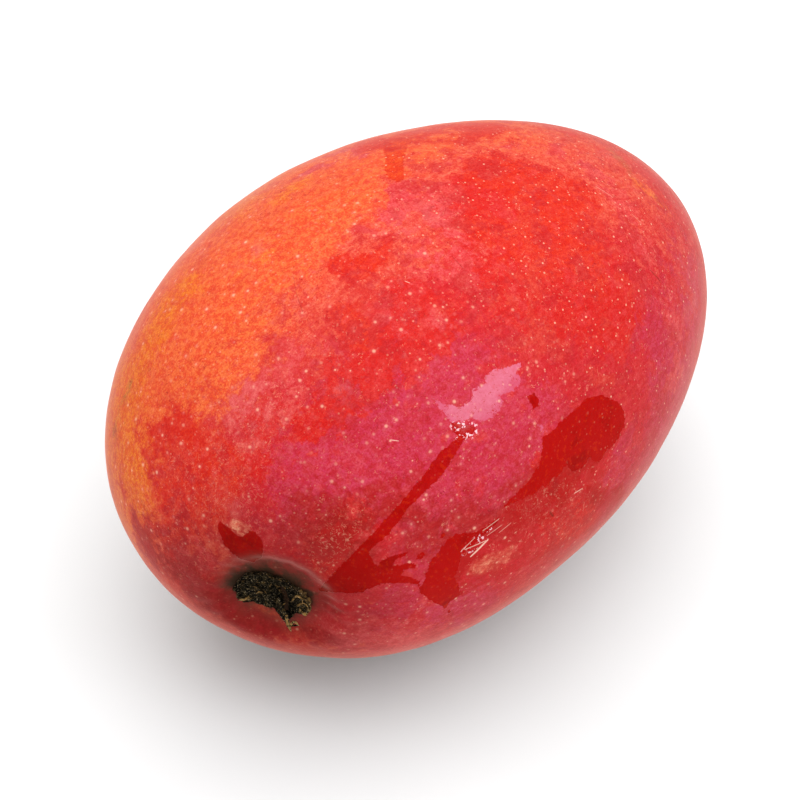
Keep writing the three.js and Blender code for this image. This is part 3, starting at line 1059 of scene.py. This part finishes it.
def strew_flecks(g, skin, colour):
    """Pale flecks drawn out along the fruit, redder flecks, darker grain and dark specks."""
    pale = use(g, SPECKLE, Place=skin.along, Width=1.3, Contrast=0.80)["Fleck"]
    colour = g.mix(pale, colour, g.mix(0.06, colour, PALE_FLECK))
    colour = g.mix(g.times(skin.flecks["Fleck"], 0.72), colour, g.tinted(colour, FLECK_TINT))
    colour = g.mix(g.times(skin.grain["Fleck"], 0.75), colour, g.tinted(colour, GRAIN_TINT))
    specks = g.step(g.noise(skin.place, 0.75, 3.0, 0.8, 0.8), 0.60, 0.66)
    specks = g.times(specks, g.step(skin.clouds, 0.40, 0.62, 0.15, 0.75))
    return g.mix(specks, colour, g.tinted(colour, SPECK_TINT))


def pale_hairs(g, skin):
    """Short pale hairs, sparse everywhere and dense where the skin is brushed."""
    hairs = g.step(g.thread(skin.place, 1.6, 2.0, 0.6, 0.6), 0.014, 0.004)
    hairs = g.times(hairs, g.step(g.noise(skin.place, 1.2, 1.0), 0.58, 0.66))
    brushed = g.step(g.thread(skin.place, 0.9, 1.0, 0.5, 0.9), 0.040, 0.010)
    brushed = g.times(brushed, g.step(skin.fine, 0.42, 0.60))
    brushed = g.times(brushed, g.painted("brushed"))
    return g.math("MAXIMUM", hairs, g.times(brushed, 0.85))


def bloom_film(g, skin):
    """How thick the bloom is: a thin milky film with a powdery grain, drawn out along the fruit."""
    # Where the bloom is painted thick along the rims, it is partly a painted rim light
    thick = g.painted("bloom")
    powder = g.step(g.noise(skin.place, 0.22, 2.0, 0.8), 0.50, 0.66)
    film = g.times(g.step(skin.mottle, 0.52, 0.66), g.step(skin.clouds, 0.40, 0.7, 0.0, 0.02))
    film = g.times_plus(g.step(skin.streaks, 0.55, 0.72), 0.018, film)
    film = g.times_plus(powder, g.times_plus(thick, 0.30, 0.012), film)
    patchy = g.step(g.math("ADD", skin.drifts[1], thick), 0.10, 0.55, 0.0, 0.50)
    return g.times_plus(thick, patchy, film)


def skin_pores(g, place):
    """Pores: wide, pale-ringed and far apart by the stalk, small and close towards the far end."""
    far = g.painted("to_far_end")
    wide = use(g, PORES, Place=place, Spacing=1.95, Radius=0.37, Softness=0.85)["Pore"]
    ring = use(g, PORES, Place=place, Spacing=1.95, Radius=0.85, Softness=0.95)["Pore"]
    faint = use(g, PORES, Place=place, Spacing=1.40, Radius=0.42, Softness=0.90)["Pore"]
    small = use(g, PORES, Place=place, Spacing=1.10, Radius=0.21, Softness=0.6)["Pore"]
    halo = g.times(ring, g.step(far, 0.60, 0.02, 0.01, 0.09))
    halo = g.times_plus(faint, g.step(far, 0.70, 0.02, 0.02, 0.13), halo)
    near_share = g.times(g.step(far, 0.80, 0.05, 0.15, 1.0), 0.70)
    return SimpleNamespace(
        wide=wide,
        small=small,
        halo=halo,
        wide_share=g.times(wide, near_share),
        small_share=g.times(small, g.step(far, 0.0, 0.7, 0.25, 0.75)),
    )


def ragged_mask(g, skin, name, raggedness, softness):
    """The inside of painted outlines, with a ragged edge."""
    away = g.times_plus(g.centred(skin.fine), raggedness, g.painted(name))
    return g.step(away, softness, -softness)


def rubbed_skin(g, skin, colour, hairs):
    """Skin with its bloom rubbed away: redder, and in places soaked a deep red."""
    bare = g.mix(g.step(skin.mottle, 0.36, 0.60), RUBBED_RED, colour)
    soaked = g.times_plus(skin.drifts[0], 1.6, g.painted("soaked"))
    deep_red = g.mix(skin.shade, WET_RED, DARK_WET)
    bare = g.mix(g.step(soaked, 0.25, 0.65, 0.0, 0.92), bare, deep_red)
    return g.mix(g.times(hairs, 0.5), bare, PORE_CREAM)


def wet_skin(g, skin, colour):
    """Wet skin: deep red, darker in blots and brighter in small spots."""
    deep = g.mix(g.step(skin.mottle, 0.30, 0.66, 0.99, 0.62), g.tinted(colour, WET_TINT), WET_RED)
    deep = g.mix(skin.shade, deep, DARK_WET)
    spots = g.step(g.noise(skin.place, 0.9, 2.0, 0.6), 0.57, 0.66)
    return g.mix(g.times(spots, 0.22), deep, EMBER)


def mirroring_film(g, skin, bloomed):
    """Wet film that mirrors the window, with a painted lilac reflection and dark curls in it."""
    film = g.mix(g.step(skin.fine, 0.30, 0.75, 0.97, 0.45), bloomed, GLINT_REFLECTION_LILAC)
    curls = g.step(g.thread(skin.place, 0.9, 1.0, 0.5, 1.2), 0.030, 0.012)
    curls = g.times(curls, g.step(g.noise(skin.place, 1.5, 1.0), 0.50, 0.58))
    return g.mix(g.times(curls, 0.85), film, RUBBED_RED)


def painted_bead_highlights(g, skin):
    """Painted highlights where small beads of water catch the light."""
    beads = g.step(g.noise(skin.place, 0.7, 2.0, 0.6), 0.56, 0.60)
    return g.times(g.step(g.painted("sparkle"), 0.3, -0.3), beads)


def stain_and_shade_stalk_end(g, skin, colour):
    """Darkens the skin towards the stalk, and draws a stain with painted shade out round it in streaks."""
    dusk = g.step(g.painted("from_seat"), 29.0, 9.0)
    colour = g.mix(dusk, colour, g.tinted(colour, DUSK_TINT))
    rays = g.times_plus(g.painted("turn_about_stalk"), 0.35, g.painted("from_cork"))
    rays = g.times_plus(g.centred(g.noise(skin.place, 0.9, 4.0, 0.7)), 2.6, rays)
    # A wide brown ring, partly painted shade on the hollow's upper wall
    colour = g.mix(g.step(rays, 5.0, 0.8, 0.0, 0.66), colour, STAIN_AND_SHADE_BROWN)
    return g.mix(g.step(rays, 2.2, 0.4, 0.0, 0.95), colour, SCAR_BROWN)


def scar_far_end(g, skin, colour):
    """The small scar at the far end, where the flower was."""
    tip = g.times_plus(g.centred(skin.fine), 2.0, g.painted("from_tip"))
    colour = g.mix(g.step(tip, 4.5, 1.5, 0.0, 0.5), colour, BRICK)
    return g.mix(g.step(tip, 1.4, 0.8, 0.0, 0.9), colour, SCAR_BROWN)


def skin_roughness(g, skin, rubbed, wet, glint):
    rough = g.blend(rubbed, g.step(skin.fine, 0.2, 0.8, *WAXY_ROUGH), RUBBED_ROUGH)
    rough = g.blend(g.step(g.painted("from_stalk"), 20.0, 12.0), rough, STALK_END_ROUGH)
    rough = g.blend(wet, rough, WET_ROUGH)
    return g.blend(glint, rough, GLINT_ROUGH)


def skin_relief(g, skin, pores, wet):
    """The fine relief, from layers with their heights in millimetres."""
    layers = (
        (skin.flecks["Height"], 0.06),
        (skin.streaks, 0.04),
        (pores.wide, 0.03),
        (pores.small, 0.02),
        (wet, 0.04),
    )
    height = g.times(skin.grain["Height"], 0.02)
    for layer, rise in layers:
        height = g.times_plus(layer, rise, height)
    bump = {"Height": height, "Distance": MM, "Strength": 0.8}
    return g.add("ShaderNodeBump", bump).outputs[0]


def material_skin(touch):
    material, g, shader = new_material("mango skin")
    skin = skin_patterns(g)
    pores = skin_pores(g, skin.place)
    hairs = pale_hairs(g, skin)
    rubbed = ragged_mask(g, skin, "rubbed", 3.0, 0.35)
    wet = ragged_mask(g, skin, "wet", 1.3, 0.09)
    glint = ragged_mask(g, skin, "glint", 2.8, 0.12)
    thin = ragged_mask(g, skin, "thin_film", 1.6, 0.10)

    colour = lay_pigments(g, skin)
    colour = cloud_the_reds(g, skin, colour)
    colour = strew_flecks(g, skin, colour)

    # Bloom, hairs and haloes lie over the pigments, and less of them near the stalk
    clean = g.step(g.painted("from_seat"), 9.0, 17.0, 0.15, 1.0)
    bloomed = g.mix(g.times(bloom_film(g, skin), clean), colour, BLOOM)
    bloomed = g.mix(g.times(hairs, 0.34), bloomed, HAIR_PEACH)
    bloomed = g.mix(g.times(pores.halo, clean), bloomed, BLOOM)
    bloomed = g.mix(g.times(rubbed, 0.88), bloomed, rubbed_skin(g, skin, colour, hairs))

    # Water takes the bloom away, and its film beside the run mirrors the window, with a painted reflection
    filmed = mirroring_film(g, skin, bloomed)
    bloomed = g.mix(thin, bloomed, g.tinted(colour, THIN_FILM_TINT))
    colour = g.mix(wet, bloomed, wet_skin(g, skin, colour))
    colour = g.mix(glint, colour, filmed)
    # Pale pink painted highlights on the beads and the shine
    colour = g.mix(painted_bead_highlights(g, skin), colour, SPARKLE_HIGHLIGHT_PINK)

    # Pores show less through the water
    dry = g.step(wet, 0.0, 1.0, 1.0, 0.22)
    colour = g.mix(g.times(pores.wide_share, dry), colour, PORE_CREAM)
    colour = g.mix(g.times(pores.small_share, dry), colour, PORE_CREAM)
    # Pale scratches, and thin painted highlights on the wet lower lobe
    colour = g.mix(marks(g, skin.place, touch, PALE_SCRATCHES_AND_GLINTS), colour, SCRATCH_AND_GLINT_PALE)
    colour = g.mix(marks(g, skin.place, touch, DARK_SCRATCHES), colour, SCRATCH_DARK)
    colour = stain_and_shade_stalk_end(g, skin, colour)
    colour = scar_far_end(g, skin, colour)

    # Light that the fruit throws on the table is less red than the fruit
    thrown = g.add("ShaderNodeLightPath").outputs["Is Diffuse Ray"]
    colour = g.mix(thrown, colour, THROWN_LIGHT)
    set_up(
        shader,
        g,
        Base_Color=colour,
        Roughness=skin_roughness(g, skin, rubbed, wet, glint),
        Normal=skin_relief(g, skin, pores, wet),
        Coat_Weight=g.times(g.math("MAXIMUM", wet, glint), 0.6),
        Coat_Roughness=0.08,
        Specular_IOR_Level=0.20,
        Sheen_Weight=0.68,
        Sheen_Roughness=0.30,
        Sheen_Tint=SHEEN_PINK,
    )
    return material


def material_stub():
    material, g, shader = new_material("dry stalk")
    place = g.place_in_mm()
    grain = use(g, SPECKLE, Place=place, Width=0.22, Contrast=0.8)
    fibres = g.noise(place, 0.7, 5.0, 0.75)
    colour = g.mix(g.step(fibres, 0.42, 0.66), CORK_BLACK, CORK_OLIVE)
    lining = g.times_plus(g.centred(fibres), 1.6, g.painted("torn"))
    colour = g.mix(g.step(lining, 0.30, 0.95), colour, FIBRE_TAN)
    dirt = g.step(g.noise(place, 0.6, 3.0, 0.7), 0.46, 0.62, 0.25, 0.92)
    colour = g.mix(dirt, colour, CORK_BLACK)
    glisten = g.step(g.noise(place, 0.18, 1.0, 0.5), 0.66, 0.70)
    colour = g.mix(g.times(glisten, 0.6), colour, FIBRE_PALE)
    colour = g.mix(g.painted("deep"), colour, PIT_BLACK)
    height = g.times_plus(fibres, 0.35, g.times(grain["Height"], 0.15))
    bump = g.add("ShaderNodeBump", {"Height": height, "Distance": MM, "Strength": 0.9})
    rough = g.step(g.noise(place, 0.3, 2.0), 0.35, 0.65, 0.30, 0.80)
    set_up(
        shader,
        g,
        Base_Color=colour,
        Roughness=rough,
        Normal=bump.outputs[0],
        Specular_IOR_Level=0.25,
    )
    return material


def material_floor():
    material, g, shader = new_material("white table")
    place = g.place_in_mm()
    shade = g.step(g.noise(place, 60.0, 2.0), 0.3, 0.7)
    colour = g.mix(shade, TABLE_DIM, TABLE_BRIGHT)
    set_up(shader, g, Base_Color=colour, Roughness=0.7, Specular_IOR_Level=0.2)
    return material


def on_stalk(x, y, height):
    """The point that a photo pixel shows at a height along the stalk above its seat."""
    aim = aim_at(x, y)
    level = SEAT_POINT + PLACE + STALK_AXIS * height
    reach = ((level - EYE) @ STALK_AXIS) / ((aim - EYE) @ STALK_AXIS)
    return EYE + (aim - EYE) * reach


def spread_along(corners, count):
    """Evenly spaced points along a closed outline."""
    closed = np.vstack([corners, corners[:1]])
    lengths = np.concatenate([[0], np.cumsum(np.linalg.norm(np.diff(closed, axis=0), axis=1))])
    at = np.linspace(0, lengths[-1], count, endpoint=False)
    return np.stack([np.interp(at, lengths, closed[:, axis]) for axis in range(3)], axis=1)


def cork():
    """The torn face of the stalk: a ragged cushion with a pit. Points, faces and two colourings."""
    middle = on_stalk(*CORK_MIDDLE, CORK_LEVEL)
    corners = np.array([on_stalk(x, y, CORK_LEVEL) for x, y in CORK_OUTLINE])
    outline = spread_along(corners, CORK_SECTORS)
    pit_line = [on_stalk(x, y, CORK_LEVEL) for x, y in PIT_LINE]
    teeth = np.array([noise.noise(Vector(p) / TEETH_WIDTH) for p in outline])
    ridge = noise.ridged_multi_fractal
    points, torn, deep = [], [], []
    for ring in range(CORK_RINGS + 1):
        share = ring / CORK_RINGS
        outward = min(1.0, share / CORK_FACE)
        flat = middle + (outline - middle) * outward * (1 + TEETH_SHARE * teeth * outward)[:, None]
        ridges = np.array([ridge(Vector(p) / RIDGE_WIDTH, *RIDGE_KIND) for p in flat])
        crumbs = np.array([noise.fractal(Vector(p) / CRUMB_WIDTH, 0.7, 2.0, 3) for p in flat])
        pit = np.exp(-((from_line(flat, pit_line) / PIT_WIDTH) ** 2))
        height = CORK_RISE * outward**2 + RIDGE_HEIGHT * (ridges - RIDGE_MEAN) + CRUMB_HEIGHT * crumbs
        height = height - PIT_DEPTH * pit - CORK_SKIRT * smooth_step(CORK_FACE, 1.0, share)
        height = np.maximum(height, CORK_FLOOR - CORK_LEVEL)
        points.append(flat + height[:, None] * STALK_AXIS)
        to_right = smooth_step(1.5, 5.0, (flat - middle) @ STALK_SIDE)
        torn.append(smooth_step(0.60, 0.85, share) * (0.10 + 0.6 * to_right) * (0.6 + 0.8 * teeth))
        shade = 0.7 * np.exp(-((from_line(flat, pit_line) / SHADE_WIDTH) ** 2))
        deep.append(np.clip(np.maximum(1.25 * pit - 0.15, shade), 0, 1))
    corner = np.arange(CORK_SECTORS)
    following = np.roll(corner, -1)
    faces = []
    for ring in range(CORK_RINGS):
        a, b = ring * CORK_SECTORS, (ring + 1) * CORK_SECTORS
        faces += np.stack([a + corner, b + corner, b + following, a + following], axis=1).tolist()
    return np.concatenate(points), faces, np.concatenate(torn), np.concatenate(deep)


def fibre(path, width, thickness, twist, colouring):
    """A torn strip on a smooth curve through a path, pointed at its end. Points, faces, colouring."""
    path = np.asarray(path, dtype=float)
    where = np.linspace(0, len(path) - 1, FIBRE_STEPS)
    lower = np.minimum(where.astype(int), len(path) - 2)
    share = (where - lower)[:, None]
    before, after = path[np.maximum(lower - 1, 0)], path[np.minimum(lower + 2, len(path) - 1)]
    here, there = path[lower], path[lower + 1]
    line = 2 * here + (there - before) * share
    line += (2 * before - 5 * here + 4 * there - after) * share**2
    line += (3 * here - before - 3 * there + after) * share**3
    line /= 2
    forward = unit(np.gradient(line, axis=0))
    points, faces = [], []
    for step in range(FIBRE_STEPS):
        along = step / (FIBRE_STEPS - 1)
        flat = unit(np.cross(forward[step], STALK_AXIS + 0.2 * UP))
        thin = np.cross(flat, forward[step])
        wide = math.cos(twist * along) * flat + math.sin(twist * along) * thin
        thin = np.cross(wide, forward[step])
        taper = 1 - 0.94 * along**2.2
        frayed = 1 + 0.25 * math.sin(9 * along + 5 * twist)
        for corner in range(FIBRE_SIDES):
            angle = 2 * math.pi * corner / FIBRE_SIDES
            offset = wide * math.cos(angle) * width * frayed + thin * math.sin(angle) * thickness
            points.append(line[step] + offset * taper / 2)
    for step in range(FIBRE_STEPS - 1):
        a, b = step * FIBRE_SIDES, (step + 1) * FIBRE_SIDES
        for corner in range(FIBRE_SIDES):
            following = (corner + 1) % FIBRE_SIDES
            faces.append((a + corner, a + following, b + following, b + corner))
    faces.append(tuple(reversed(range(FIBRE_SIDES))))
    faces.append(tuple((FIBRE_STEPS - 1) * FIBRE_SIDES + corner for corner in range(FIBRE_SIDES)))
    return np.array(points), faces, np.full(len(points), colouring)


def loose_hairs():
    """Short hairs and shreds that stand out of the cork, in every direction."""
    draws = np.random.default_rng(11)
    middle = np.array(CORK_MIDDLE, dtype=float)
    made = []
    for number in range(HAIR_COUNT):
        edge = np.array(CORK_OUTLINE[draws.integers(len(CORK_OUTLINE))], dtype=float)
        root = middle + (edge - middle) * draws.uniform(0.25, 0.98)
        lean = draws.uniform(0, 2 * math.pi)
        reach = draws.uniform(*HAIR_REACH)
        bend = lean + draws.normal(0, 0.9)
        half_way = root + 0.5 * reach * np.array([math.cos(lean), math.sin(lean)])
        tip = half_way + 0.5 * reach * np.array([math.cos(bend), math.sin(bend)])
        rise = draws.uniform(0.1, 0.8)
        path = [
            on_stalk(*root, CORK_LEVEL - 0.2),
            on_stalk(*half_way, CORK_LEVEL + 0.3 + rise),
            on_stalk(*tip, CORK_LEVEL + 0.2 + rise * draws.uniform(0.2, 1.2)),
        ]
        shred = number % 4 == 0
        width = draws.uniform(*(SHRED_WIDTH if shred else HAIR_WIDTH))
        made.append(fibre(path, width, min(width, 0.15), draws.normal(0, 1.2), draws.uniform(0.1, 0.9)))
    return made


def make_stub():
    """The stalk's torn remnant: a cork cushion with a pit, hairs, loops and a hooked flap."""
    points, faces, torn, deep = cork()
    made = [(points, faces, torn)] + loose_hairs()
    for path, width, thickness, twist, colouring in STALK_FLAPS:
        line = [on_stalk(*corner) for corner in path]
        made.append(fibre(line, width, thickness, twist, colouring))
    all_faces, count = [], 0
    for part_points, part_faces, _ in made:
        all_faces += [[count + corner for corner in face] for face in part_faces]
        count += len(part_points)
    stub = new_mesh("torn_stalk", np.concatenate([part[0] for part in made]), all_faces)
    paint(stub, "torn", np.concatenate([part[2] for part in made]))
    paint(stub, "deep", np.concatenate([deep, np.zeros(count - len(deep))]))
    stub.data.materials.append(material_stub())
    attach(stub, "root")
    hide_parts("stalk_stub")


def make_floor():
    sides = ((-1, -1), (1, -1), (1, 1), (-1, 1))
    corners = [(x * TABLE_HALF, y * TABLE_HALF, 0) for x, y in sides]
    floor = new_mesh("white_table", corners, [(0, 1, 2, 3)])
    floor.data.materials.append(material_floor())
    floor.visible_glossy = False


def area_light(name, place, target, size, power, gloss):
    """A soft box at a place in metres that faces a target."""
    data = bpy.data.lights.new(name, "AREA")
    data.shape = "RECTANGLE"
    data.size, data.size_y = size
    data.energy = power
    light = bpy.data.objects.new(name, data)
    light.location = place
    light.rotation_mode = "QUATERNION"
    light.rotation_quaternion = (Vector(target) - light.location).to_track_quat("-Z", "Y")
    light.visible_glossy = gloss
    bpy.context.scene.collection.objects.link(light)
    return light


def make_lights(touch):
    world = bpy.data.worlds.new("pale room")
    world.use_nodes = True
    background = world.node_tree.nodes["Background"]
    background.inputs["Color"].default_value = (1, 1, 1, 1)
    background.inputs["Strength"].default_value = ROOM_LIGHT
    world.cycles_visibility.glossy = False
    bpy.context.scene.world = world
    middle = FRUIT_MIDDLE * MM
    behind = unit([-BACK[0], -BACK[1], 0.0])
    above = ACROSS * 0.10 + behind * 0.25 + UP
    area_light("overhead box", above, middle, OVERHEAD_SIZE, OVERHEAD_POWER, False)

    # A small pale window, where the film beside the run mirrors it
    spot = touch.pixel(*GLINT_MIDDLE)
    normal = touch.normal(spot)
    mirrored = 2 * (normal @ BACK) * normal - BACK
    window_place = (spot + mirrored * WINDOW_DISTANCE) * MM
    window = area_light("window", window_place, spot * MM, WINDOW_SIZE, WINDOW_POWER, True)
    window.data.color = WINDOW_BLUE
    bpy.context.scene.view_settings.view_transform = "Standard"


make_camera()
skin = make_skin()
touch = Touch(skin)
paint_skin(skin, touch)
skin.data.materials.append(material_skin(touch))
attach(skin, "root")
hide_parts("fruit")
make_stub()
make_floor()
make_lights(touch)
